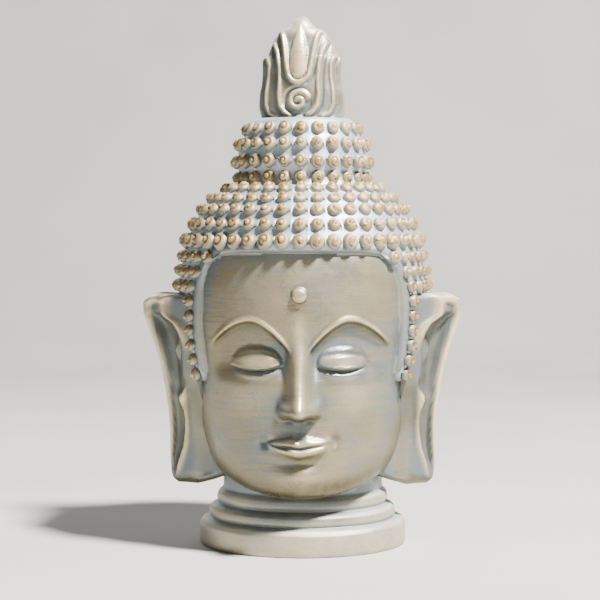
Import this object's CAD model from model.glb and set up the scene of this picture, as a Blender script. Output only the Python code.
"""Looks of the garden buddha head: one cast piece over its solid, with its painted finish,
a plain floor, soft studio light and the camera."""

import math

import bpy
import numpy as np
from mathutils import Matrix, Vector
from mathutils.bvhtree import BVHTree


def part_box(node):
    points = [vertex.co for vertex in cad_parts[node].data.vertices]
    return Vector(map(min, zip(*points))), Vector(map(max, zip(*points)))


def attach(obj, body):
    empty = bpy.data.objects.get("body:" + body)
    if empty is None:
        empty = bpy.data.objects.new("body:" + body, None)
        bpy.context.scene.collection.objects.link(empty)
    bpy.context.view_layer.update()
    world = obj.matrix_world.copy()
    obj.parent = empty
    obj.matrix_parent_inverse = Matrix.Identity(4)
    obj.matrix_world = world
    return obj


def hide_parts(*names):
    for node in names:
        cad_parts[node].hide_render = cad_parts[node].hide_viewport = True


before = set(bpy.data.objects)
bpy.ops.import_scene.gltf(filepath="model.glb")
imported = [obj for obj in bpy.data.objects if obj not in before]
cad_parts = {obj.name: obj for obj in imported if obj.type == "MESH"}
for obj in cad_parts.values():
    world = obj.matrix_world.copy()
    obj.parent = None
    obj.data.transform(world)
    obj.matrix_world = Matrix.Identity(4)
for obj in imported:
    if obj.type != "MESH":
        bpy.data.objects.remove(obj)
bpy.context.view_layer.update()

# ---- sizes
# Lengths are millimetres for a head 540 mm tall. METRE turns them into the frame's metres.

LOW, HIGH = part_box("buddha_head")
NOMINAL_HEIGHT = 540.0
METRE = (HIGH[2] - LOW[2]) / NOMINAL_HEIGHT

FACE_CHIN = 57.0
FACE_THIRD = 80.0
NOSE_Z = FACE_CHIN + 1 + FACE_THIRD
BROW_Z = NOSE_Z + FACE_THIRD
HAIRLINE_Z = BROW_Z + FACE_THIRD
MOUTH_Z = NOSE_Z - FACE_THIRD / 3
EYE_Z = (HAIRLINE_Z + FACE_CHIN) / 2 + 12
EYE_X = 42.0
EYE_HALF = 22.0
MOUTH_HALF = 31.0

NECK_FOOT = [(104.5, 0), (105.6, 1.2)]
NECK_PROFILE = [
    (106, 0), (106, 21), (103, 25.5), (94, 27.5), (96, 31), (95.5, 37), (92, 40), (85.5, 42),
    (88, 46.5), (87, 52.5), (82, 57), (81.5, 110), (92, 155),
]
SCALP = [
    (142, 98), (150, 104), (165, 111.5), (180, 117), (196, 121), (215, 123.5), (245, 124.5),
    (267, 123.5), (282, 121.5), (297, 119), (311, 115.5), (328, 108), (341.5, 100), (353, 90),
    (361, 79), (368, 66), (375, 63), (390, 65.5), (408, 62), (423, 55), (433, 51),
]
SCALP_BACK = 0.06
SCALP_WIDEST_Z = 245.0
CURL_PITCH = 17.6
CURL_DEPTH = 9.0
CURL_HALF_WIDTH = 6.2
CURL_HALF_HEIGHT = 6.7
CURL_RISE = 7.2
FRINGE_SIZE = 1.17
CROWN_ROWS = [423, 408, 390, 373, 361, 352.5, 341.5, 328, 308.5]
SIDE_ROW_PITCH = 14.6
SIDE_ROWS = 10
SIDEBURN_ROWS = 9
HAIRLINE_SIDE = math.radians(57.5)
CORNER_ROW_STARTS = [(40, 51), (51, 56), (56, 57.5)]
SIDEBURN_Z = 173.0
RIM_TOP_Z = 305.0
RIM_WIDTH = 8.0
RIM_SQUARENESS = 0.32
RIM_RADIUS = 120.0
RIM_SUNK = 3.2
BEHIND_EAR = math.radians(25)

FACE_HALF_WIDTH = [
    (57, 20), (62, 46), (70, 68), (80, 85), (95, 95), (115, 101), (140, 105.5), (165, 108),
    (200, 114), (230, 118), (260, 118.5), (290, 116), (312, 110),
]
FACE_FRONT = [
    (57, 97), (62, 106), (70, 111), (84, 114), (112, 114), (160, 116), (200, 117), (235, 118.5),
    (262, 118), (290, 114.5), (312, 108),
]
FACE_WIDEST = [(57, -86), (62, -70), (70, -46), (80, -22), (95, -8), (120, 0), (312, 0)]
FACE_BACK = [(57, -76), (62, -45), (70, 15), (80, 48), (95, 62), (120, 66), (312, 66)]
FACE_SQUARENESS = 2.1

EAR_BOTTOM = 60.0
EAR_TOP = 258.0
EAR_RIM_X = [
    (60, 127), (65, 133), (76, 135), (130, 134), (150, 135.5), (170, 138), (190, 143), (208, 149),
    (225, 155.5), (238, 159.5), (246, 159.5), (252, 156), (256, 150), (258, 142),
]
EAR_RIM_Y = [(60, 2), (100, 3), (150, 2), (200, 2), (245, 4), (258, -4)]
EAR_ROOT_X = [
    (60, 108), (63, 98), (68, 84), (74, 72), (90, 74), (130, 90), (170, 100), (210, 103), (258, 106),
]
EAR_ROOT_Y = [
    (60, -8), (63, -13), (68, -21), (74, -27), (110, -26), (150, -40), (175, -52), (258, -54),
]
EAR_SEAT = {"from": math.radians(65), "to": math.radians(90), "bottom": 165.0, "top": 262.0}
EAR_FOLD_X = [
    (60, 127), (72, 126), (84, 123), (101, 117.5), (129, 114.5), (150, 115.5), (165, 112.5),
    (200, 113.5), (215, 118), (226, 124.5), (236, 138), (258, 141),
]
EAR_RIM_WIDTH = [(60, 3), (83, 3.5), (110, 5.5), (150, 6.2), (200, 7.8), (245, 9)]
EAR_HOLLOW = [
    (66, 0), (80, 3), (100, 4.5), (140, 5), (150, 4.5), (158, 7), (175, 10), (200, 12), (222, 12),
    (232, 8), (238, 0),
]
EAR_THICK = 15.0

FINIAL_HALF_DEPTH = [(430, 26), (450, 28), (485, 26), (515, 20), (532, 12), (540, 5)]
FINIAL_HALF_WIDTH = [
    (430, 40), (438, 42.5), (448, 44.6), (459, 44.2), (470, 42), (482, 41), (492, 41.2),
    (496.5, 40.3), (498.5, 36), (505, 33.5), (512, 30.5), (518, 27.5), (523, 24), (525.5, 20),
    (527.5, 14.5), (531, 11), (535, 7.8), (538.2, 4.5), (540, 0.4),
]
VOLUTE_Z = 452.0
VOLUTE_RADIUS = 11.0
URNA_RADIUS = 7.5
# The button's half width as a share of its radius, and how far it stands out, from its foot on.
URNA_PROFILE = [
    (1.6, -2.8), (1.3, -0.7), (1.12, 0.1), (1.03, 0.8), (0.99, 1.7), (0.92, 2.9), (0.78, 3.9),
    (0.55, 4.6), (0.3, 4.9), (0.1, 5.0),
]

RANDOM_SEED = 11

# How finely each part is divided, as a number of steps round or along it.
NECK_SIDES = 112
URNA_SIDES = 28
RIM_STEPS = 90
EAR_ROWS, EAR_COLUMNS = 84, 46
FINIAL_COLUMNS = 76


# ---- small helpers


def smooth(value, low, high):
    """Rises softly from nothing at low to one at high."""
    t = np.clip((value - low) / (high - low), 0.0, 1.0)
    return t * t * (3 - 2 * t)


def bump(value):
    """One at nothing, falling off softly to both sides."""
    return np.exp(-value * value)


def spot(x, z, wide, tall):
    """A soft oval spot, one at its middle."""
    return bump(np.hypot(x / wide, z / tall))


def arc(value):
    """The height of a half circle over a place from -1 to 1."""
    return np.sqrt(np.maximum(0, 1 - value ** 2))


def pairs(ring):
    """Each item of a closed ring with the one after it."""
    return zip(ring, [*ring[1:], ring[0]])


def full_turn(count):
    return 2 * math.pi * np.arange(count) / count


def along(levels, z):
    """Smooth value at a height, through a short list of (height, value) levels."""
    x, y = np.array(levels, float).T
    span = np.diff(x)
    slope = np.diff(y) / span
    tangent = np.empty(len(x))
    tangent[0], tangent[-1] = slope[0], slope[-1]
    product = slope[:-1] * slope[1:]
    total = np.where(product > 0, slope[:-1] + slope[1:], 1.0)
    tangent[1:-1] = np.where(product > 0, 2 * product / total, 0.0)
    z = np.clip(z, x[0], x[-1])
    i = np.clip(np.searchsorted(x, z, side="right") - 1, 0, len(span) - 1)
    t = (z - x[i]) / span[i]
    rise = y[i + 1] - y[i]
    start = tangent[i] * span[i] - rise
    end = rise - tangent[i + 1] * span[i]
    return y[i] + t * rise + t * (1 - t) * ((1 - t) * start + t * end)


def placed(name, data):
    """A new object in the scene."""
    obj = bpy.data.objects.new(name, data)
    bpy.context.scene.collection.objects.link(obj)
    return obj


def piece(name, points, faces, paint=()):
    """A mesh object from millimetre points and faces of point numbers.

    Paint runs from -1, where dark paint stays in a hollow, to 1, where a ridge is rubbed pale."""
    mesh = bpy.data.meshes.new(name)
    mesh.from_pydata((np.asarray(points, float) * METRE).tolist(), [], faces)
    mesh.update()
    marks = mesh.attributes.new("paint", "FLOAT", "POINT")
    paint = np.append(paint, np.zeros(len(points) - np.size(paint)))
    marks.data.foreach_set("value", paint.astype(np.float32))
    return placed(name, mesh)


def loft(name, rings, paint=()):
    """A closed piece lofted through equal rings, lowest first, anticlockwise seen from above."""
    rings = np.asarray(rings, float)
    rows, count = rings.shape[:2]
    points = rings.reshape(-1, 3).tolist()
    faces = []
    for row in range(rows - 1):
        for a, b in pairs(range(row * count, (row + 1) * count)):
            faces.append((a, b, b + count, a + count))
    points.append(rings[0].mean(axis=0).tolist())
    points.append(rings[-1].mean(axis=0).tolist())
    bottom, top = rows * count, rows * count + 1
    start = (rows - 1) * count
    for a, b in pairs(range(count)):
        faces.append((bottom, b, a))
        faces.append((top, start + a, start + b))
    return piece(name, points, faces, paint)


def flat_ring(x, y, z):
    """A level ring from its points' x and y."""
    return np.stack([x, y, np.full(len(x), z)], 1)


def rounded(outline, reach=1.6, steps=3):
    """The outline with each inner corner turned into a short curve."""
    points = [np.array(p, float) for p in outline]
    out = [points[0]]
    for before, corner, after in zip(points, points[1:], points[2:]):
        start = corner - (corner - before) * min(0.45, reach / np.linalg.norm(corner - before))
        end = corner + (after - corner) * min(0.45, reach / np.linalg.norm(after - corner))
        for t in np.linspace(0, 1, steps + 1):
            out.append((1 - t) ** 2 * start + 2 * t * (1 - t) * corner + t * t * end)
    out.append(points[-1])
    return np.array(out)


def resampled(line, length):
    """Extra points along a polyline so that no step is longer than length."""
    out = [line[0]]
    for a, b in zip(line, line[1:]):
        steps = max(1, math.ceil(np.linalg.norm(b - a) / length))
        out.extend(a + (b - a) * k / steps for k in range(1, steps + 1))
    return np.array(out)


def distance_to(line, x, z):
    """Distance from each (x, z) to a polyline."""
    best = np.full(np.shape(x), 1e9)
    line = np.asarray(line, float)
    for (ax, az), (bx, bz) in zip(line, line[1:]):
        dx, dz = bx - ax, bz - az
        t = np.clip(((x - ax) * dx + (z - az) * dz) / (dx * dx + dz * dz + 1e-9), 0, 1)
        best = np.minimum(best, np.hypot(x - ax - t * dx, z - az - t * dz))
    return best


# ---- base and neck


def make_neck():
    """The turned base ring and neck, its edges softened as a casting's are."""
    line = resampled(rounded(NECK_PROFILE), 7.0)
    line = np.vstack([NECK_FOOT, line[1:]])
    turn = full_turn(NECK_SIDES)
    rings = []
    for radius, z in line:
        wobble = 0.35 * np.sin(3 * turn + z / 9) + 0.25 * np.sin(7 * turn - z / 5)
        reach = radius + wobble * min(1.0, z / 10)
        rings.append(flat_ring(reach * np.cos(turn), reach * np.sin(turn), z))
    return loft("neck", rings)


# ---- face


# Each line and relief takes the distance aside from the middle of the face, and the height.


def brow_line(side):
    inner = np.clip((48 - side) / 40, 0, 1)
    outer = np.clip((side - 48) / 38, 0, 1.3)
    return BROW_Z + 17 - 31 * inner ** 1.6 - 22 * outer ** 2


def brow_share(side):
    """One along the brow, falling to nothing at its two ends."""
    return smooth(side, 7, 16) * (1 - smooth(side, 74, 94))


def lash_line(side):
    return EYE_Z - 3.5 * (1 - ((side - EYE_X) / EYE_HALF) ** 2)


def lip_line(side):
    return MOUTH_Z + 3.4 * (side / MOUTH_HALF) ** 2 - 1.2 * bump(side / 7)


def eye_relief(side, z):
    """A socket under the brow, and a full lid closed over the eye."""
    below_brow = brow_line(side) - z
    sides = brow_share(side)
    socket = -6.5 * smooth(below_brow, 0, 7) * smooth(z, EYE_Z - 20, EYE_Z + 4) * sides
    ridge = 2.2 * bump(below_brow / 2.6) * sides
    across = (side - EYE_X) / (EYE_HALF + 3)
    over = z - lash_line(side)
    upper = np.maximum(0, 1 - across ** 2 - (over / 22) ** 2)
    lid = np.where(over > -1.2, 7.5 * np.sqrt(upper) * smooth(over, -1.2, 1.0), 0)
    crease_line = 15.5 * arc(across)
    crease = -1.6 * bump((over - crease_line) / 2.3) * smooth(1 - np.abs(across), 0.04, 0.4)
    lower = 3 * bump((over + 6) / 3.5) * np.maximum(0, 1 - across ** 2)
    lash = 0.9 * bump((over - 0.6) / 1.0) * smooth(1 - np.abs(across), 0, 0.25)
    return socket + ridge + lid + crease + lower + lash


def nose_relief(side, z):
    """A straight bridge that widens downwards, with a rounded tip, wings and nostrils."""
    down = np.clip((BROW_Z - 6 - z) / (BROW_Z - 6 - NOSE_Z - 9), 0, 1)
    height = 2.5 + 23.5 * down ** 1.1
    half_width = 12 + 9 * down
    bridge = height * 0.5 * (1 + np.cos(math.pi * np.minimum(1, side / half_width)))
    fade_top = 1 - smooth(z, BROW_Z - 12, BROW_Z + 14)
    up = z - NOSE_Z
    raised = bridge * fade_top + 3.5 * spot(side, up - 9, 9, 9) + 9 * spot(side - 15, up - 8, 6.5, 8)
    wing_crease = -1.8 * spot(side - 22.5, up - 9, 2.2, 9)
    nostril = -4.5 * spot(side - 9.5, up - 0.5, 4.2, 2.4)
    return raised * smooth(z, NOSE_Z - 3, NOSE_Z + 5) + wing_crease + nostril


def mouth_relief(side, z):
    """Two full lips in a slight smile on the curve of the jaw."""
    reach = np.maximum(0, 1 - (side / MOUTH_HALF) ** 2)
    over = z - lip_line(side)
    upper_top = 8.5 * reach ** 0.7 + 1.6 * bump((side - 7) / 5) - 1.2 * bump(side / 3.5) + 0.01
    lower_depth = 11.5 * np.sqrt(reach) + 0.01
    upper = np.where(over >= 0, 7 * arc(over / upper_top), 0)
    roll = np.sin(math.pi * np.clip(-over / lower_depth, 0, 1) ** 0.8)
    lower = np.where(over < 0, 8.5 * roll, 0)
    lips = (upper + lower) * np.sqrt(reach) - 2.2 * bump(over / 1.2) * reach
    edge = 0.9 * bump((over - upper_top - 0.8) / 1.9) * reach
    muzzle = 5 * bump(side / 36) * bump((z - MOUTH_Z - 3) / 26)
    corner = -3.4 * spot(side - MOUTH_HALF - 3, z - MOUTH_Z - 4, 5.5, 6)
    return lips + edge + muzzle + corner


def cheek_and_chin_relief(side, z):
    cheek = 3.5 * spot(side - 56, z - NOSE_Z - 22, 28, 30)
    chin = 6 * spot(side, z - FACE_CHIN - 21, 24, 14)
    fold = -2.5 * bump((z - MOUTH_Z + 17) / 5) * bump(side / 22)
    philtrum = -1.6 * bump(side / 3.4) * smooth(z, MOUTH_Z + 9, MOUTH_Z + 13)
    return cheek + chin + fold + philtrum * (1 - smooth(z, NOSE_Z - 6, NOSE_Z))


def face_relief(x, z):
    side = np.abs(x)
    return eye_relief(side, z) + nose_relief(side, z) + mouth_relief(side, z) + cheek_and_chin_relief(side, z)


def face_paint(x, z):
    """The face's ridges are rubbed pale; its creases, sockets and far sides stay dark."""
    side = np.abs(x)
    above_brow = z - brow_line(side)
    brow = (0.9 * bump(above_brow / 2.4) - 0.7 * bump((above_brow + 6) / 4)) * brow_share(side)
    across = (side - EYE_X) / (EYE_HALF + 3)
    reach = arc(across)
    over = z - lash_line(side)
    eye = (0.6 * bump((over - 7) / 5) - 1.1 * bump((over + 1.8) / 1.1)) * reach
    eye = eye - 0.6 * bump((over - 15.5 * reach - 1.5) / 2.2) * (reach > 0)
    nose = 0.75 * bump(side / 6) * smooth(z, NOSE_Z - 2, NOSE_Z + 6) * (1 - smooth(z, BROW_Z, BROW_Z + 30))
    nose = nose - 0.9 * spot(side - 9.5, z - NOSE_Z - 0.5, 4.2, 2.6)
    nose = nose - 0.5 * spot(side - 22.5, z - NOSE_Z - 9, 3, 9)
    lip_reach = arc(side / MOUTH_HALF)
    above = z - lip_line(side)
    lips = 0.7 * bump((above - 4) / 3) + 0.75 * bump((above + 5) / 3.4) - 1.2 * bump(above / 1.2)
    lips = (lips - 0.4 * bump((above + 13.5 * lip_reach) / 2.5)) * lip_reach
    soft = 0.35 * spot(side, z - FACE_CHIN - 22, 22, 11)
    soft = soft + 0.3 * spot(side - 52, z - NOSE_Z - 24, 20, 18)
    soft = soft + 0.3 * spot(side, z - BROW_Z - 58, 60, 30)
    far = -0.75 * smooth(side, 88, 108) * (1 - smooth(z, 270, 300))
    return np.clip(brow + eye + nose + lips + soft + far, -1, 1)


def face_point(turn, z):
    """Points of the skin; turn runs from -1 to 1 across the front, ear to ear."""
    angle = (math.pi / 2) * np.abs(turn) ** 1.3 * np.sign(turn)
    widest = along(FACE_WIDEST, z)
    x = along(FACE_HALF_WIDTH, z) * np.sin(angle)
    inside = np.maximum(0, 1 - np.abs(np.sin(angle)) ** FACE_SQUARENESS)
    depth = inside ** (1 / FACE_SQUARENESS)
    y = widest - (along(FACE_FRONT, z) + widest) * depth
    return np.stack([x, y - face_relief(x, z) * smooth(depth, 0, 0.35), z], -1)


def row_bend(x, z):
    """How far a row of the face is bent from level, to run along the brow, lash and lip lines."""
    side = np.abs(x)
    brow = (brow_line(side) - brow_line(48.0)) * bump((z - BROW_Z - 16) / 34)
    lash = (lash_line(side) - EYE_Z) * bump((z - EYE_Z) / 9)
    lip = (lip_line(side) - MOUTH_Z) * bump((z - MOUTH_Z) / 11)
    brow = brow * (1 - smooth(side, 86, 100))
    lash = lash * smooth(side, 15, 22) * (1 - smooth(side, 64, 74))
    return brow + lash + lip * (1 - smooth(side, 34, 50))


# Heights where the face's rows lie closer, and how far up and down that reaches.
FINE_ROWS = [(MOUTH_Z, 16), (EYE_Z, 14), (BROW_Z + 8, 14), (NOSE_Z, 8), (FACE_CHIN, 6)]


def make_face():
    """The face, with rows and columns packed closer where the features are."""
    heights = [FACE_CHIN]
    while heights[-1] < 311.4:
        z = heights[-1]
        heights.append(z + 2.9 - 1.7 * max(bump((z - middle) / reach) for middle, reach in FINE_ROWS))
    half = [0.0]
    while half[-1] < 1:
        x = 118 * half[-1] ** 1.3
        half.append(half[-1] + (0.0128 if x < 72 else 0.026))
    half = np.array(half) / half[-1]
    turns = np.append(-half[:0:-1], half)
    behind = math.pi * np.arange(1, 16) / 16
    rings, paint = [], []
    for z in heights:
        level = np.full(len(turns), z)
        bent = level + row_bend(face_point(turns, level)[:, 0], level)
        front = face_point(turns, bent)
        widest = along(FACE_WIDEST, z)
        back_x = along(FACE_HALF_WIDTH, z) * np.cos(behind)
        back_y = widest + (along(FACE_BACK, z) - widest) * np.sin(behind)
        rings.append(np.vstack([front, flat_ring(back_x, back_y, z)]))
        paint.append(np.append(face_paint(front[:, 0], front[:, 2]), np.full(len(behind), -0.2)))
    return loft("face", rings, paint)


def make_urna():
    """The round button between the brows: a low dome that faces straight ahead."""
    z = BROW_Z + FACE_THIRD / 2
    front = face_point(np.array([0.0]), np.array([z]))[0]
    turn = full_turn(URNA_SIDES)
    rings = []
    for radius, out in URNA_PROFILE:
        across, up = URNA_RADIUS * radius * np.cos(turn), URNA_RADIUS * radius * np.sin(turn)
        rings.append(np.stack([across, np.full(URNA_SIDES, front[1] - out), z + up], 1))
    paint = np.interp([radius for radius, out in URNA_PROFILE], [0.9, 1.05, 1.3], [0.7, -0.5, 0.0])
    return loft("urna", rings, np.repeat(paint, URNA_SIDES))


# ---- hair

# The scalp's side line from the top down: height, radius and distance run along it.
LINE_Z = np.linspace(SCALP[-1][0], SCALP[0][0] - 6, 900)
LINE_R = along(SCALP, LINE_Z)
LINE_RUN = np.concatenate([[0], np.cumsum(np.hypot(np.diff(LINE_Z), np.diff(LINE_R)))])


def run_at(z):
    return np.interp(-z, -LINE_Z, LINE_RUN)


def line_at(run):
    """Radius and height of the side line at a distance run along it."""
    return np.array([np.interp(run, LINE_RUN, LINE_R), np.interp(run, LINE_RUN, LINE_Z)])


def fuller(angle):
    """How much farther out the scalp lies towards the back of the head."""
    return 1 + SCALP_BACK * (1 - np.cos(angle)) / 2


def scalp_point(angle, run, lift=0.0):
    """Points over the scalp at an angle from straight ahead and a distance down its side."""
    r, z = line_at(run)
    dr, dz = line_at(run + 1.0) - line_at(run - 1.0)
    size = np.hypot(dr, dz)
    radius = r * fuller(angle) - lift * dz / size
    place = radius * np.sin(angle), -radius * np.cos(angle), z + lift * dr / size
    return np.stack(np.broadcast_arrays(*place), -1)


def side_row_start(side):
    """Where a side row starts on its upper and its lower edge, as angles from straight ahead."""
    if side < len(CORNER_ROW_STARTS):
        return [math.radians(angle) for angle in CORNER_ROW_STARTS[side]]
    return [HAIRLINE_SIDE + (BEHIND_EAR if side >= SIDEBURN_ROWS else 0)] * 2


def curl_rows():
    """Every row of curls: its edges as runs down the scalp, and the angles between curls."""
    heights = CROWN_ROWS + [CROWN_ROWS[-1] - SIDE_ROW_PITCH * i for i in range(1, SIDE_ROWS + 2)]
    edges = [heights[0] + 8] + [(z + after) / 2 for z, after in zip(heights, heights[1:])]
    rows = []
    for i, z in enumerate(heights[:-1]):
        side = i - len(CROWN_ROWS)
        closed = side < 0
        above, below = (0.0, 0.0) if closed else side_row_start(side)
        radius = along(SCALP, z if closed else SCALP_WIDEST_Z) + CURL_DEPTH / 2
        count = round((2 * math.pi - above - below) * radius / CURL_PITCH)
        spread = np.arange(count + 1) / count
        first = [-math.pi / count] * 2 if closed else [above, below]
        rows.append({
            "top": run_at(edges[i]),
            "bottom": run_at(edges[i + 1]),
            "upper": first[0] + (2 * math.pi - 2 * above) * spread,
            "lower": first[1] + (2 * math.pi - 2 * below) * spread,
            "closed": closed,
            "count": count,
            "fringe": side == -1,
        })
    return rows


def under_ear(angle, z):
    """Whether a place lies under an ear, where the scalp has no curls."""
    aside = math.acos(math.cos(angle))
    return EAR_SEAT["from"] < aside < EAR_SEAT["to"] and EAR_SEAT["bottom"] < z < EAR_SEAT["top"]


class Cap:
    """The cap of snail-shell curls, built as one closed skin."""

    COLUMNS = 12
    GAP = 0.9
    SEAM_LIFT = -0.3
    WINDOW_STEPS = 4
    WINDOW_INSET = 0.72

    def __init__(self):
        self.points = []
        self.paint = []
        self.faces = []
        self.random = np.random.default_rng(RANDOM_SEED)

    def add(self, point, paint=0.0):
        self.points.append(tuple(float(v) for v in point))
        self.paint.append(paint)
        return len(self.points) - 1

    def ring(self, row, edge, run):
        """Points between two rows, three to a curl, closed through the head behind the face."""
        third = np.linspace(0, row["count"], 3 * row["count"] + 1)
        angles = np.interp(third, np.arange(row["count"] + 1), row[edge])
        opening = angles[0]
        if row["closed"]:
            angles = angles[:-1]
        numbers = [self.add(p) for p in scalp_point(angles, run, self.SEAM_LIFT)]
        window = []
        for k in range(1, self.WINDOW_STEPS):
            if row["closed"]:
                break
            angle = 2 * math.pi - opening + 2 * opening * k / self.WINDOW_STEPS
            x, y, z = scalp_point(angle, run)
            window.append(self.add((x * self.WINDOW_INSET, y * self.WINDOW_INSET, z)))
        return numbers, window

    def angle_of(self, n):
        return math.atan2(self.points[n][0], -self.points[n][1])

    def fan(self, polygon):
        for i in range(1, len(polygon) - 1):
            self.faces.append((polygon[0], polygon[i], polygon[i + 1]))

    def bridge(self, right, left):
        """Joins two closed rings of any counts by angle; right is the lower of the two."""
        a = sorted(right, key=self.angle_of)
        b = sorted(left, key=self.angle_of)

        def at(ring, k):
            return self.angle_of(ring[k % len(ring)]) + 2 * math.pi * (k // len(ring))

        i = k = 0
        while i < len(a) or k < len(b):
            if i < len(a) and (k >= len(b) or at(a, i + 1) <= at(b, k + 1)):
                self.faces.append((a[i % len(a)], a[(i + 1) % len(a)], b[k % len(b)]))
                i += 1
            else:
                self.faces.append((a[i % len(a)], b[(k + 1) % len(b)], b[k % len(b)]))
                k += 1

    def curl(self, border, centre_angle, centre_run, half_wide, half_tall, height):
        """One snail shell on its cell: wall, a groove that winds in, and a raised middle."""
        middle = scalp_point(centre_angle, centre_run)
        out = scalp_point(centre_angle, centre_run, 1.0) - middle
        right = np.array([math.cos(centre_angle), math.sin(centre_angle), 0.0])
        up = np.cross(right, -out) * -1
        start = self.random.uniform(0, 2 * math.pi)
        size = self.random.normal(1.0, 0.035)
        height = height * self.random.normal(1.0, 0.06)
        lean = self.random.normal(0.0, 0.06, 2)
        half_wide, half_tall = half_wide * size, half_tall * size

        def at(turn, radius, lift, paint):
            u, w = half_wide * radius * math.cos(turn), half_tall * radius * math.sin(turn)
            place = middle + right * (u + lean[0] * lift) + up * (w + lean[1] * lift) + out * lift
            return self.add(place, paint)

        def dome(winds):
            radius = 1.0 - 0.45 * winds
            return radius, height * math.sqrt(1 - (radius / 1.16) ** 2)

        # Each stack climbs the wall, crosses the rim and the groove, and ends on the middle.
        top = at(0.0, 0.0, 1.03 * height, 1.0)
        stacks = []
        for j in range(self.COLUMNS):
            turn = math.radians(45) + 2 * math.pi * j / self.COLUMNS
            phase = ((turn - start) % (2 * math.pi)) / (2 * math.pi)
            stack = [at(turn, 1.13, -0.1, 0.0), at(turn, 1.04, 0.22 * height, 0.3)]
            stack.append(at(turn, *dome(phase), 1.0))
            radius, lift = dome(phase + 0.5)
            cut = float(smooth(phase, -0.25, 0.2))
            stack.append(at(turn, radius, lift - 0.3 * height * cut, 1.0 - 2.0 * cut))
            stack.append(at(turn, *dome(phase + 1.0), 1.0))
            stacks.append((phase, stack))
        for (m, n), ((phase_a, a), (phase_b, b)) in zip(pairs(border), pairs(stacks)):
            self.faces.append((m, n, b[0], a[0]))
            self.faces.append((a[0], b[0], b[1], a[1]))
            if phase_b > phase_a:
                for level in range(1, 4):
                    self.faces.append((a[level], b[level], b[level + 1], a[level + 1]))
                self.faces.append((a[4], b[4], top))
            else:
                self.fan([a[2], a[1], b[1], b[2], b[3], b[4]])
                self.fan([a[3], a[2], b[4], top, a[4]])

    def row(self, row, top, bottom):
        """One row's curls between the ring above and the ring below."""
        count, closed = row["count"], row["closed"]
        upper, lower = top[0], bottom[0]
        run_top, run_bottom = row["top"], row["bottom"] - self.GAP
        sides = []
        for k in range(count if closed else count + 1):
            shares = np.array([1 / 3, 2 / 3])
            angle = row["upper"][k] + (row["lower"][k] - row["upper"][k]) * shares
            pair = scalp_point(angle, run_top + (run_bottom - run_top) * shares, self.SEAM_LIFT)
            sides.append([self.add(p) for p in pair])
        for k in range(count):
            u = [upper[(3 * k + m) % len(upper)] for m in (3, 2, 1, 0)]
            d = [lower[(3 * k + m) % len(lower)] for m in (0, 1, 2, 3)]
            left, right = sides[k], sides[(k + 1) % len(sides)]
            border = [*u, left[0], left[1], *d, right[1], right[0]]
            centre = (row["upper"][k] + row["upper"][k + 1] + row["lower"][k] + row["lower"][k + 1]) / 4
            centre_run = (run_top + run_bottom) / 2
            radius, height = line_at(centre_run)
            if under_ear(centre, height):
                self.fan(border)
                continue
            pitch = (row["upper"][k + 1] - row["upper"][k]) * (radius * fuller(centre))
            full = FRINGE_SIZE if row["fringe"] else 1.0
            half_wide = min(CURL_HALF_WIDTH, pitch * 0.36) * full
            half_tall = min(CURL_HALF_HEIGHT, (run_bottom - run_top) * 0.42) * full
            self.curl(border, centre, centre_run, half_wide, half_tall, CURL_RISE * full)
        if not closed:
            self.close_window(top, bottom, upper, lower, sides)

    def close_window(self, top, bottom, upper, lower, sides):
        """The stretch inside the head, behind the face, of a row that doesn't run right round."""
        across_top = [upper[-1], *top[1], upper[0]]
        across_bottom = [lower[-1], *bottom[1], lower[0]]
        end, begin = sides[-1], sides[0]
        last = len(across_top) - 2
        for i in range(last + 1):
            a, b = across_top[i], across_top[i + 1]
            c, d = across_bottom[i + 1], across_bottom[i]
            if i == 0:
                self.fan([b, a, end[0], end[1], d, c])
            elif i == last:
                self.fan([a, d, c, begin[1], begin[0], b])
            else:
                self.faces.append((a, d, c, b))

    def build(self):
        above = None
        for row in curl_rows():
            top = self.ring(row, "upper", row["top"])
            bottom = self.ring(row, "lower", row["bottom"] - self.GAP)
            if above is None:
                first = top[0]
            else:
                self.bridge(top[0] + top[1], above[0] + above[1])
            self.row(row, top, bottom)
            above = bottom
        self.close_crown(first)
        self.close_underside(above[0] + above[1])
        return piece("hair", self.points, self.faces, self.paint)

    def close_crown(self, first):
        """The flat top of the bun, inside the first row's ring."""
        crown_z = SCALP[-1][0]
        shoulder = []
        for n in first:
            x, y, _ = self.points[n]
            shoulder.append(self.add((x * 0.93, y * 0.93, crown_z + 1.5)))
        for (a, b), (c, d) in zip(pairs(first), pairs(shoulder)):
            self.faces.append((a, b, d, c))
        peak = self.add((0, 0, crown_z + 4))
        self.faces += [(a, b, peak) for a, b in pairs(shoulder)]

    def close_underside(self, last):
        """The cap's flat underside, hidden in the neck and the face."""
        order = sorted(last, key=self.angle_of)
        middle = self.add((0, 0, self.points[last[0]][2]))
        self.faces += [(b, a, middle) for a, b in pairs(order)]


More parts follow.
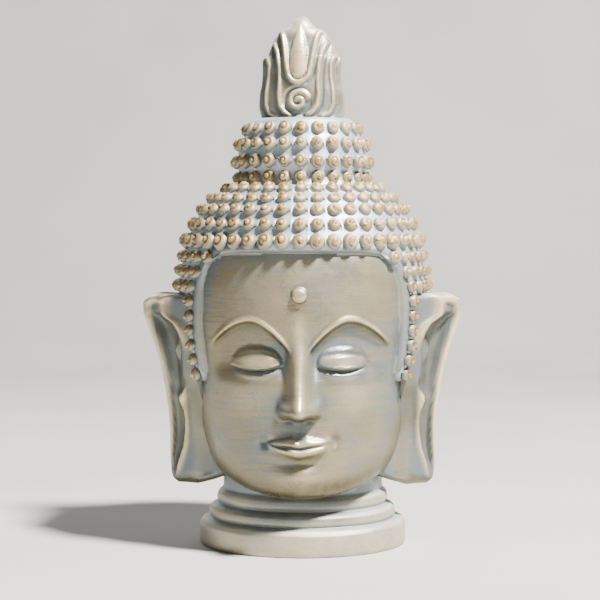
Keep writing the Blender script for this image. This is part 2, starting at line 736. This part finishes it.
def make_rim():
    """The plain band between the curls and the forehead: a thin ledge above, a slope at the sides."""
    ends = [math.asin(share ** (1 / RIM_SQUARENESS)) for share in (0.03, 0.06, 0.1, 0.17, 0.25)]
    arch = np.linspace(0, math.pi, RIM_STEPS + 1)[1:-1]
    turns = [0.0, *ends, *arch, *(math.pi - t for t in ends[::-1]), math.pi]
    profile = [(-1.9, -14), (-1.7, -6), (-1.35, -2.9), (-0.9, -0.7), (-0.3, 0.1), (1, 0.2), (1, -14)]
    rings = []
    for t in turns:
        up = max(0.0, math.sin(t))
        across = math.copysign(abs(math.cos(t)) ** RIM_SQUARENESS, math.cos(t))
        angle = HAIRLINE_SIDE * across
        z = SIDEBURN_Z + (RIM_TOP_Z - SIDEBURN_Z) * up ** RIM_SQUARENESS
        out = np.array([math.copysign(abs(across) ** 7, across), up ** 2.2])
        out = out / np.linalg.norm(out)
        sunk = RIM_SUNK * (1 - smooth(z, SIDEBURN_Z - 1, SIDEBURN_Z + 15))
        ring = []
        for share, lift in profile:
            slope = 0.35 + 0.65 * out[0] ** 2
            share = max(share, -1) + (min(share, -1) + 1) * slope
            turn = angle + share * RIM_WIDTH / 2 * out[0] / RIM_RADIUS
            run = run_at(z + share * RIM_WIDTH / 2 * out[1])
            ring.append(scalp_point(turn, run, lift - sunk))
        rings.append(ring)
    return loft("rim", rings)


# ---- ears


def ear_outline():
    """The free edge of an ear as (x, z), from its foot at the neck, round the rim, to its root."""
    z = np.append(np.linspace(60, 240, 60), np.linspace(241, 258, 30))
    edge = np.stack([along(EAR_RIM_X, z), z], 1)
    return np.vstack([[72, 74], [84, 68], [98, 63], [108, 60.4], edge, [130, 258], [112, 257]])


EAR_EDGE = ear_outline()


def ear_front(x, z):
    """How far the front of an ear stands out from its middle plane."""
    edge = distance_to(EAR_EDGE, x, z)
    width = along(EAR_RIM_WIDTH, z)
    fold = np.minimum(along(EAR_FOLD_X, z), along(EAR_RIM_X, z) - 2 * width)
    inner = along(EAR_RIM_X, z) - width
    plate = -3.0 * bump((x - (along(EAR_ROOT_X, z) + fold) / 2) / 12) * (1 - smooth(z, 160, 195))
    band = 3.0 * bump((x - fold + 5) / 5) * smooth(z, 192, 224)
    share = np.clip((x - fold) / np.maximum(inner - fold, 1), 0, 1)
    over_scalp = (1 - smooth(x, 111, 131)) * smooth(z, 155, 175)
    hollow = along(EAR_HOLLOW, z) * (1 - np.abs(2 * share - 1) ** 5) * (1 - over_scalp)
    ridge = 3.2 * smooth(z, 62, 84) * (1 - smooth(z, 155, 175)) * bump((x - fold + 0.5) / 3.6)
    roll = 4.0 * arc((edge - width * 0.5) / (width * 0.66))
    roll = roll * smooth(z, 66, 100) * (1 - smooth(z, 225, 240) * (1 - smooth(x, 122, 150)))
    antihelix = 6.5 * bump((x - 125.5) / 3.2) * bump((z - 200) / 12)
    tragus = 4.5 * spot(x - 116, z - 149, 5, 9)
    return plate + band - hollow + ridge + roll + antihelix + tragus


def ear_half_thickness(x, z):
    """Half the thickness, rounded off to nothing at the free edge."""
    edge = np.clip(distance_to(EAR_EDGE, x, z) / 6.0, 0, 1)
    return EAR_THICK / 2 * np.sqrt(np.maximum(0.02, 1 - (1 - edge) ** 2))


def ear_ring(z):
    """One level of an ear, out along its front and back behind, with its paint."""
    root = np.array([along(EAR_ROOT_X, z), along(EAR_ROOT_Y, z)])
    rim = np.array([along(EAR_RIM_X, z) - 0.2, along(EAR_RIM_Y, z)])
    across = rim - root
    normal = np.array([across[1], -across[0]]) / np.linalg.norm(across)
    spread = np.arange(EAR_COLUMNS + 1) / EAR_COLUMNS
    front_x = root[0] + across[0] * (0.75 * spread + 0.25 * np.sin(spread * math.pi / 2))
    back_x = front_x[-2:0:-3]
    relief = ear_front(front_x, z)
    half = ear_half_thickness(front_x, z)
    fade = smooth(half, 0.4 * EAR_THICK / 2, 0.95 * EAR_THICK / 2)
    x = np.append(front_x, back_x)
    lift = np.append(half + relief * (0.35 + 0.65 * fade), -ear_half_thickness(back_x, z))
    place = root + np.outer((x - root[0]) / across[0], across) + np.outer(lift, normal)
    shade = np.clip(np.where(relief > 0, relief / 3.4, relief / 4.5), -1, 1)
    return flat_ring(place[:, 0], place[:, 1], z), np.append(shade, np.full(len(back_x), 0.1))


def make_ear(side):
    """The ear on one side: 1 is the head's left, -1 its mirror image."""
    even = np.arange(EAR_ROWS) / (EAR_ROWS - 1)
    eased = (1 - np.cos(math.pi * even)) / 2
    heights = EAR_BOTTOM + 0.4 + (EAR_TOP - EAR_BOTTOM - 0.8) * (0.55 * eased + 0.45 * even)
    rings, paint = [], []
    for z in heights:
        ring, shade = ear_ring(z)
        rings.append(ring if side > 0 else (ring * [-1, 1, 1])[::-1])
        paint.append(shade[::side])
    return loft("ear_left" if side > 0 else "ear_right", rings, paint)


# ---- finial

# Raised lines on the flame's right half, as (x, z) from the foot up.
CUP = [(0, 470.5), (6, 472.5), (10.5, 478), (12.6, 487), (14, 497), (15.8, 509), (18.5, 520), (21, 524)]
LEAF = [(9, 437.5), (15, 441), (19.5, 448), (20.6, 459), (20, 474), (20.6, 488), (23, 501), (27, 511)]
WING = [(24, 436), (31, 440), (35, 449), (34.8, 461), (32.4, 477), (32, 489), (35, 497)]
# Each line with its height and the depth of the groove beyond it.
LEAVES = [(CUP, 3.6, 2.2), (LEAF, 3.4, 2.8), (WING, 3.0, 2.4)]
TONGUE_HALF_WIDTH = [
    (474.6, 0), (476, 4.6), (480, 7.4), (488, 8.6), (499, 8.4), (512, 6.6), (524, 3.2), (530, 0),
]
FINIAL_YAW = math.radians(-8)


def volute_line(turns=1.3, steps=40):
    """The spiral at the flame's foot, from its outer end inwards."""
    share = np.linspace(0, 1, steps)
    turn = 0.35 + 2 * math.pi * turns * share
    radius = VOLUTE_RADIUS * (1 - 0.8 * share)
    return np.stack([radius * np.cos(turn), VOLUTE_Z + radius * np.sin(turn)], 1)


def finial_relief(x, z):
    """The flame's carving: three pairs of leaves, a hollow cup with a tongue in it, and a volute."""
    side = np.abs(x)
    relief = np.zeros(np.shape(x))
    for line, height, depth in LEAVES:
        line_x, line_z = np.array(line).T
        foot = line_z[0]
        near = distance_to(line, side, z)
        beyond = side - np.interp(z, line_z, line_x, left=0)
        groove = bump((near - 3.4) / 1.5) * smooth(beyond, -0.5, 1.5)
        relief += height * bump(near / 1.7) - depth * groove * smooth(z, foot - 4, foot)
        relief -= 0.9 * smooth(beyond, 0, 5) * smooth(z, foot - 6, foot + 10)
    half = np.interp(z, *np.array(TONGUE_HALF_WIDTH).T, left=0, right=0)
    inside = np.where(half > 0, np.clip(1 - (side / np.maximum(half, 0.1)) ** 2, 0, 1), 0)
    relief += 3.4 * inside ** 0.75 * smooth(z, 474.6, 480) * (1 - 0.6 * smooth(z, 505, 530))
    cup_x, cup_z = np.array(CUP).T
    within = smooth(np.interp(z, cup_z, cup_x, left=0) - side, 1.5, 4.5) * (inside <= 0)
    relief -= 1.6 * within * smooth(z, 472, 478) * (1 - smooth(z, 512, 524))
    around = np.hypot(x, z - VOLUTE_Z)
    relief += (5.0 * bump(distance_to(volute_line(), x, z) / 2.7) - 2.4) * (1 - smooth(around, 13.5, 16))
    return relief


def make_finial():
    """The flame bud: an oval upright whose outline steps in at each leaf, carved back and front."""
    levels = [428.0]
    while levels[-1] < 539.7:
        z = levels[-1]
        steep = bump((z - 497.5) / 2.5) + bump((z - 526) / 3) + bump((z - 538) / 3)
        levels.append(z + 1.5 - 0.8 * min(1.0, float(steep)))
    turn = math.pi * (np.arange(FINIAL_COLUMNS) + 0.5) / FINIAL_COLUMNS
    rise = np.sin(turn) ** 0.8
    carved = smooth(np.sin(turn), 0.1, 0.5)
    cos, sin = math.cos(FINIAL_YAW), math.sin(FINIAL_YAW)
    rings, paint = [], []
    for z in levels:
        half = along(FINIAL_HALF_WIDTH, z)
        depth = along(FINIAL_HALF_DEPTH, z) * min(1.0, half / 10 + 0.2) * rise
        front_x = -half * np.cos(turn)
        relief = finial_relief(front_x, z) * carved
        back_relief = finial_relief(-front_x, z) * carved
        x = np.append(front_x, -front_x)
        y = np.append(-depth - relief, depth + back_relief)
        rings.append(flat_ring(cos * x - sin * y, sin * x + cos * y, z))
        shade = np.clip(np.where(relief > 0, relief / 3, relief / 2.4) + 0.48, -1, 1)
        paint.append(np.append(shade, shade[::-1]))
    return loft("finial", rings, paint)


# ---- the cast piece


def united(parts):
    """The first part with all others joined to it as one closed skin."""
    body = parts[0]
    for other in parts[1:]:
        join = body.modifiers.new("join", "BOOLEAN")
        join.operation = "UNION"
        join.solver = "MANIFOLD"
        join.material_mode = "TRANSFER"
        join.object = other
        bpy.context.view_layer.objects.active = body
        bpy.ops.object.modifier_apply(modifier="join")
        bpy.data.objects.remove(other, do_unlink=True)
    return body


def read(items, name, kind=float, size=1):
    """One number, or size of them, from each item of a mesh, as an array."""
    values = np.empty(len(items) * size, kind)
    items.foreach_get(name, values)
    return values.reshape(-1, size) if size > 1 else values


class Skin:
    """The joined skin as arrays, x, y and z in millimetres, with each point's part and paint."""

    def __init__(self, mesh):
        self.mesh = mesh
        self.edges = read(mesh.edges, "vertices", int, 2)
        self.points = read(mesh.vertices, "co", size=3)
        self.normals = read(mesh.vertex_normals, "vector", size=3)
        self.x, self.y, self.z = self.points.T / METRE
        self.paint = read(mesh.attributes["paint"].data, "value", np.float32)
        self.part = self.part_names()

    def part_names(self):
        """The part that each point belongs to, read from the part's own material slot."""
        polygons = self.mesh.polygons
        owner = np.zeros(len(self.points), int)
        slots = np.repeat(read(polygons, "material_index", int), read(polygons, "loop_total", int))
        owner[read(self.mesh.loops, "vertex_index", int)] = slots
        return np.array([m.name.split("_")[0] for m in self.mesh.materials])[owner]

    def on(self, *names):
        """One on the named parts, nothing elsewhere."""
        return np.isin(self.part, names).astype(float)

    def averaged(self, values, rounds):
        """Values of the points, each mixed with its neighbours' a number of times."""
        one, other = self.edges.T
        count = np.bincount(self.edges.ravel(), minlength=len(values)).astype(float)
        count = np.maximum(count, 1).reshape(-1, *[1] * (values.ndim - 1))
        for _ in range(rounds):
            total = np.zeros_like(values)
            np.add.at(total, one, values[other])
            np.add.at(total, other, values[one])
            values = 0.5 * values + 0.5 * (total / count)
        return values


# In metres: how far open_sky's rays reach, and how far off the skin they start.
SKY_REACH = 0.022
RAY_START = 0.0004


def open_sky(skin, rays):
    """Share of rays from each point, spread over the dome above it, that nothing near stops."""
    vertices = [v.co for v in skin.mesh.vertices]
    tree = BVHTree.FromPolygons(vertices, [tuple(p.vertices) for p in skin.mesh.polygons], epsilon=0.0)
    normals = skin.normals
    k = np.arange(rays) + 0.5
    height = 1 - 0.92 * k / rays
    turn = k * math.pi * (3 - math.sqrt(5))
    flat = np.sqrt(1 - height ** 2)
    cone = np.stack([flat * np.cos(turn), flat * np.sin(turn), height], 1)
    helper = np.where(np.abs(normals[:, 2:3]) < 0.9, [[0.0, 0.0, 1.0]], [[1.0, 0.0, 0.0]])
    right = np.cross(helper, normals)
    right /= np.linalg.norm(right, axis=1, keepdims=True) + 1e-12
    up = np.cross(normals, right)
    free = np.zeros(len(normals))
    starts = (skin.points + normals * RAY_START).tolist()
    for cx, cy, cz in cone:
        directions = right * cx + up * cy + normals * cz
        for i, (start, direction) in enumerate(zip(starts, directions.tolist())):
            if tree.ray_cast(start, direction, SKY_REACH)[0] is None:
                free[i] += 1
    return free / rays


def store_colour(mesh, name, *channels):
    """Keeps up to three shares, 0 to 1, as one colour attribute on the points."""
    store = mesh.color_attributes.new(name, "FLOAT_COLOR", "POINT")
    colour = np.ones((len(mesh.vertices), 4), np.float32)
    for i, channel in enumerate(channels):
        colour[:, i] = np.clip(channel, 0, 1)
    store.data.foreach_set("color", colour.ravel())


def rubbed_share(skin, under_chin):
    """Raised places are rubbed pale; on the neck these are the edges of its rings."""
    offset = skin.points - skin.averaged(skin.points, 24)
    stands_out = skin.averaged(np.einsum("ij,ij->i", offset, skin.normals) / METRE, 1)
    ring_edges = 0.5 * smooth(stands_out, 0.1, 0.7) * (1 - under_chin)
    raised = np.maximum(skin.paint, 0) * (1 - 0.12 * skin.on("hair"))
    return np.where(skin.on("neck") > 0, ring_edges, raised)


def glaze_share(skin):
    """Brown stays under each curl and in its groove, and along the edges of leaves and ears."""
    paint = skin.paint
    dark = np.maximum(-paint, 0)
    down = skin.averaged(-skin.normals[:, 2], 1)
    curl = np.maximum(smooth(down, -0.5, 0.4) * smooth(paint, 0.1, 0.5), dark)
    edge = smooth(paint, 0.25, 0.6) * (1 - smooth(paint, 0.7, 0.95))
    finial = skin.on("finial")
    other = 0.42 * dark * finial + 0.4 * edge * (skin.on("ear") + 0.4 * finial) + 0.3 * skin.on("urna")
    return np.where(skin.on("hair") > 0, curl, other)


def ground_share(skin):
    """The pale wash lies between the curls, and thinly on the plain parts."""
    scalp = skin.on("hair") * (1 - smooth(np.abs(skin.paint), 0.0, 0.4))
    sideburn_foot = (skin.y < 0) * (1 - smooth(skin.z, SIDEBURN_Z - 3, SIDEBURN_Z + 9))
    plain = 0.22 * skin.on("rim") + 0.1 * skin.on("ear") + 0.26 * skin.on("neck") + 0.17 * skin.on("finial")
    return scalp * (1 - 0.85 * sideburn_foot) + plain


def olive_share(skin, broad_down, under_chin):
    """Dark olive stays in hollows, under the chin and on undersides, and thinly on the ears."""
    hollow = np.maximum(-0.75 * skin.paint, smooth(broad_down, -0.1, 0.5))
    hollow = np.maximum(hollow, 0.7 * under_chin) * (1 - skin.on("hair", "finial"))
    return np.maximum(hollow, 0.3 * skin.on("ear") * (1 - smooth(skin.paint, 0.0, 0.5)))


def weathered_share(skin):
    """Plain stretches of the neck, the ears and the far cheeks have kept more of the blue wash."""
    far_cheek = skin.on("face") * smooth(np.abs(skin.x), 70, 108)
    plain = 1 - smooth(np.abs(skin.paint), 0.1, 0.6)
    return 0.3 * skin.on("neck") + (0.42 * skin.on("ear") + 0.28 * far_cheek) * plain


def paint_masks(body):
    """Stores shares of the finish as the red, green and blue of two colour attributes.

    "finish" holds how far a place is rubbed pale, how open it lies to the sky and its brown glaze,
    "wash" its pale ground wash, its dark olive and the dust on what faces up."""
    skin = Skin(body.data)
    sky = skin.averaged(open_sky(skin, 20), 2)
    broad_down = skin.averaged(-skin.normals[:, 2], 12)
    under_chin = skin.on("neck") * smooth(-skin.y, 60, 88) * smooth(skin.z, 26, 40)
    masks = np.stack([
        rubbed_share(skin, under_chin),
        sky * (1 - weathered_share(skin)),
        ground_share(skin),
        olive_share(skin, broad_down, under_chin),
    ], 1)
    behind = (skin.on("neck", "face") > 0) & (skin.y > 0)
    masks = np.where(behind[:, None], skin.averaged(masks, 6), masks)
    rubbed, sky, ground, olive = masks.T
    dust = smooth(-broad_down, 0.1, 0.9) * (1 - 0.55 * skin.on("face"))
    store_colour(skin.mesh, "finish", rubbed, sky, glaze_share(skin))
    store_colour(skin.mesh, "wash", ground, olive, dust)
    skin.mesh.attributes.remove(skin.mesh.attributes["paint"])


# ---- finish


class Tree:
    """A short way to write a material's nodes."""

    def __init__(self, name):
        self.material = bpy.data.materials.new(name)
        self.material.use_nodes = True
        self.nodes = self.material.node_tree.nodes
        self.links = self.material.node_tree.links
        self.nodes.clear()

    def put(self, socket, value):
        """Sets a socket's value, or links it to another socket or to a node's first output."""
        if isinstance(value, bpy.types.Node):
            value = value.outputs[0]
        if isinstance(value, bpy.types.NodeSocket):
            self.links.new(value, socket)
        elif isinstance(value, (tuple, list)) and len(value) == 3 and socket.type == "RGBA":
            socket.default_value = (*value, 1.0)
        else:
            socket.default_value = value

    def node(self, kind, inputs, **settings):
        """A node with these settings, each input, by name or number, set or linked."""
        node = self.nodes.new(kind)
        for name, value in settings.items():
            setattr(node, name, value)
        for name, value in inputs.items():
            self.put(node.inputs[name], value)
        return node

    def maths(self, operation, a, b, clamp=False):
        return self.node("ShaderNodeMath", {0: a, 1: b}, operation=operation, use_clamp=clamp)

    def mix(self, share, a, b, blend="MIX"):
        inputs = {0: share, 6: a, 7: b}
        return self.node("ShaderNodeMix", inputs, data_type="RGBA", blend_type=blend).outputs[2]

    def ramp(self, value, low, high, start=0.0, end=1.0):
        inputs = {0: value, 1: low, 2: high, 3: start, 4: end}
        return self.node("ShaderNodeMapRange", inputs, interpolation_type="SMOOTHSTEP")

    def noise(self, scale, detail, roughness=0.55, stretch=(1, 1, 1), distortion=0.0):
        place = self.node("ShaderNodeTexCoord", {}).outputs["Object"]
        mapping = self.node("ShaderNodeMapping", {"Vector": place, "Scale": stretch})
        inputs = {"Vector": mapping, "Scale": scale, "Detail": detail, "Roughness": roughness}
        return self.node("ShaderNodeTexNoise", {**inputs, "Distortion": distortion})

    def channels(self, attribute):
        """The three shares kept in one of the piece's colour attributes."""
        node = self.node("ShaderNodeAttribute", {}, attribute_name=attribute)
        return self.node("ShaderNodeSeparateColor", {"Color": node.outputs["Color"]}).outputs[:3]

    def bump(self, strength, distance, height, inputs):
        sizes = {"Strength": strength, "Distance": distance, "Height": height}
        return self.node("ShaderNodeBump", {**sizes, **inputs})

    def finish(self, inputs):
        """The material, with a shader of these inputs on its surface."""
        shader = self.node("ShaderNodeBsdfPrincipled", inputs)
        self.node("ShaderNodeOutputMaterial", {"Surface": shader})
        return self.material


BLUE_WASH = (0.17, 0.215, 0.225)
PALE_WASH = (0.435, 0.505, 0.545)
WARM_GREY = (0.305, 0.26, 0.17)
CREAM = (0.75, 0.62, 0.38)
BROWN_GLAZE = (0.28, 0.165, 0.05)
OLIVE = (0.095, 0.08, 0.032)
CREVICE = (0.07, 0.068, 0.045)


def cast_stone():
    """Satin gold-pewter paint on cast stone, rubbed pale where raised, blue-grey in the hollows."""
    tree = Tree("cast_stone")
    raised, sky, glaze = tree.channels("finish")
    ground, olive, dust = tree.channels("wash")

    clouds = tree.noise(9, 5, 0.6)
    patches = tree.noise(38, 5, 0.62, distortion=0.4)
    strokes = tree.noise(60, 6, 0.7, stretch=(0.35, 0.35, 4.5))
    speckle = tree.noise(900, 3, 0.6)

    open_share = tree.ramp(sky, 0.45, 0.98)
    warm = tree.maths("ADD", open_share, tree.ramp(clouds, 0.32, 0.66, -0.75, 0.25))
    warm = tree.maths("ADD", warm, tree.ramp(strokes, 0.3, 0.7, -0.3, 0.3), clamp=True)
    colour = tree.mix(warm, BLUE_WASH, WARM_GREY)

    def patchy(share, low, high, least, most):
        return tree.maths("MULTIPLY", share, tree.ramp(patches, low, high, least, most))

    coats = [
        (patchy(dust, 0.25, 0.7, 0.5, 0.9), PALE_WASH),
        (tree.ramp(sky, 0.2, 0.62, 0.6, 0.0), CREVICE),
        (patchy(olive, 0.25, 0.7, 1.0, 0.7), OLIVE),
        (ground, PALE_WASH),
        (patchy(raised, 0.25, 0.62, 0.5, 1.0), CREAM),
        (patchy(glaze, 0.3, 0.7, 1.0, 0.5), BROWN_GLAZE),
    ]
    for share, paint in coats:
        colour = tree.mix(share, colour, paint)
    colour = tree.mix(1.0, colour, tree.ramp(speckle, 0.3, 0.72, 0.88, 1.12), "MULTIPLY")

    rough = tree.maths("ADD", tree.ramp(patches, 0.3, 0.7, 0.26, 0.4), tree.ramp(sky, 0.4, 1.0, 0.2, 0.0))
    rough = tree.maths("ADD", rough, tree.ramp(dust, 0.0, 0.6, 0.0, 0.14))
    metal = tree.ramp(raised, 0.0, 1.0, 0.6, 0.48)

    grain = tree.bump(0.22, 0.0006, speckle, {})
    dents = tree.bump(0.25, 0.0015, strokes, {"Normal": grain})
    return tree.finish({"Base Color": colour, "Roughness": rough, "Metallic": metal, "Normal": dents})


def pale_floor():
    """A plain pale studio surface with a faint mottle."""
    tree = Tree("studio_floor")
    shade = tree.ramp(tree.noise(3, 3), 0.3, 0.7, 0.0, 1.0)
    colour = tree.mix(shade, (0.44, 0.435, 0.42), (0.48, 0.475, 0.46))
    return tree.finish({"Base Color": colour, "Roughness": 0.8})


# ---- the scene


def make_head():
    """Builds the parts, joins them and dresses the result."""
    parts = [
        Cap().build(), make_face(), make_neck(), make_rim(), make_ear(1), make_ear(-1),
        make_finial(), make_urna(),
    ]
    for part in parts:
        part.data.materials.append(bpy.data.materials.new(part.name))
    body = united(parts)
    body.name = "buddha_head_cast"
    body.data.name = "buddha_head_cast"
    paint_masks(body)
    markers = list(body.data.materials)
    body.data.materials.clear()
    body.data.materials.append(cast_stone())
    body.data.polygons.foreach_set("material_index", [0] * len(body.data.polygons))
    for marker in markers:
        bpy.data.materials.remove(marker)
    body.data.shade_smooth()
    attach(body, "root")
    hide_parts("buddha_head")
    return body


def make_stage():
    """A pale floor that curves up into a backdrop far behind."""
    half, back, rise, bend = 4.0, 2.0, 3.0, 1.0
    line = [(-half, 0.0), (back, 0.0)]
    for angle in math.pi / 2 * np.arange(1, 13) / 12:
        line.append((back + bend * math.sin(angle), bend * (1 - math.cos(angle))))
    line.append((back + bend, rise))
    points = [(side * half, y, z) for y, z in line for side in (-1, 1)]
    faces = [(2 * i, 2 * i + 1, 2 * i + 3, 2 * i + 2) for i in range(len(line) - 1)]
    mesh = bpy.data.meshes.new("floor")
    mesh.from_pydata(points, [], faces)
    mesh.materials.append(pale_floor())
    mesh.shade_smooth()
    placed("floor", mesh)


def area_light(name, place, size, power, colour):
    """A round soft light aimed at the middle of the head."""
    data = bpy.data.lights.new(name, "AREA")
    data.shape = "DISK"
    data.size = size
    data.energy = power
    data.color = colour
    lamp = placed(name, data)
    lamp.location = place
    aim = Vector((0.0, 0.0, 0.28)) - Vector(place)
    lamp.rotation_euler = aim.to_track_quat("-Z", "Y").to_euler()


def make_light():
    """A warm key high on the right, a weak fill on the left, a light behind and a dim sky."""
    area_light("key", (1.48, -1.1, 3.1), 0.45, 790, (1.0, 0.965, 0.915))
    area_light("fill", (-1.8, -1.4, 0.9), 1.8, 2, (0.86, 0.93, 1.0))
    area_light("back", (-0.9, 1.6, 1.7), 1.2, 16, (0.95, 0.98, 1.0))
    world = bpy.data.worlds.new("studio")
    world.use_nodes = True
    background = world.node_tree.nodes["Background"]
    background.inputs[0].default_value = (0.80, 0.88, 1.0, 1.0)
    background.inputs[1].default_value = 0.09
    bpy.context.scene.world = world


def make_camera():
    """Seen from 1.9 m away and a little to the head's left, just above its hairline."""
    distance, height, turn = 1.9, 0.33, math.radians(1.5)
    below, aside = math.radians(2.4395), math.radians(0.0776)
    data = bpy.data.cameras.new("camera")
    data.sensor_width = 36.0
    data.lens = 110.7
    camera = placed("camera", data)
    camera.location = (distance * math.sin(turn), -distance * math.cos(turn), height)
    camera.rotation_euler = (math.pi / 2 - below, 0.0, turn + aside)
    bpy.context.scene.camera = camera


head = make_head()
make_stage()
make_light()
make_camera()
